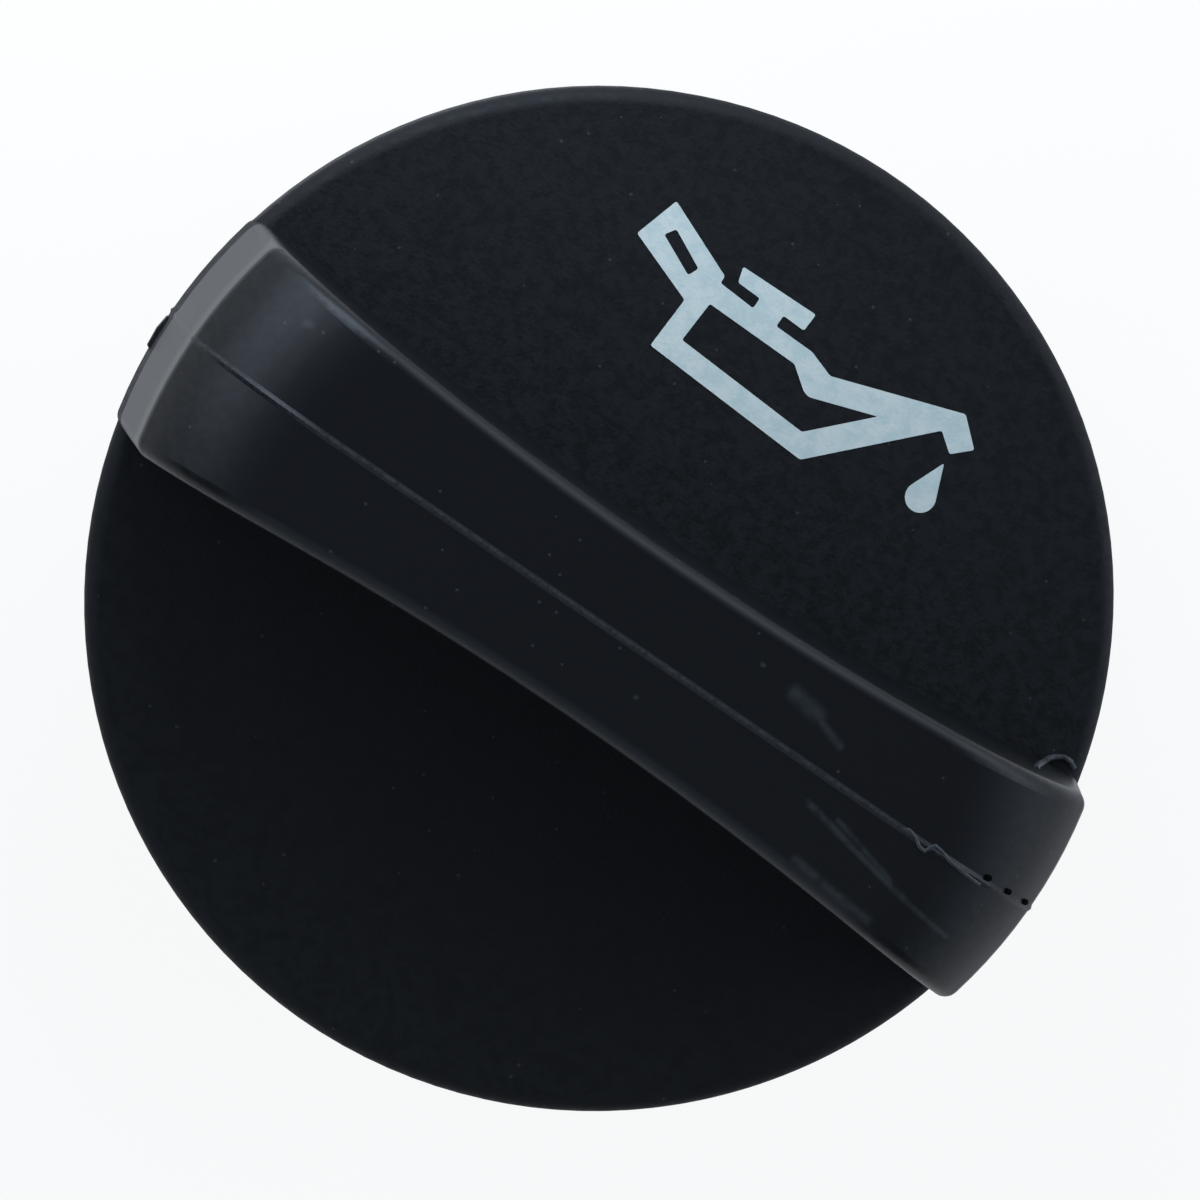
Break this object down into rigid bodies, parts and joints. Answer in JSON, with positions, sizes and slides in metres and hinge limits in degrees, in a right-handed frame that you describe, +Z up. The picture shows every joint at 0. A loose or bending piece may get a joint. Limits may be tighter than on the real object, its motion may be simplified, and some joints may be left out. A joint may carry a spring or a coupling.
{
  "type": "oil filler cap",
  "caption": "Round black plastic oil filler cap: a waisted grip bar across a textured disc with an oil-can sign, a bayonet neck below and a rubber seal ring round it.",
  "frame": {"origin": "on the cap's axis at the lower rim of the neck", "axes": "+Z up along the axis, out of the engine; +X along the grip bar"},
  "size_m": [0.0656, 0.065, 0.0363],
  "materials": {
    "cap_plastic": "black glass-filled nylon, fine eroded grain on the disc, smoother on the grip bar",
    "seal_rubber": "black oil-proof rubber, dull",
    "sign_print": "pale bluish white pad print"
  },
  "bodies": {
    "root": {"cap_body": "cap_plastic", "seal_ring": "seal_rubber"}
  },
  "joints": []
}
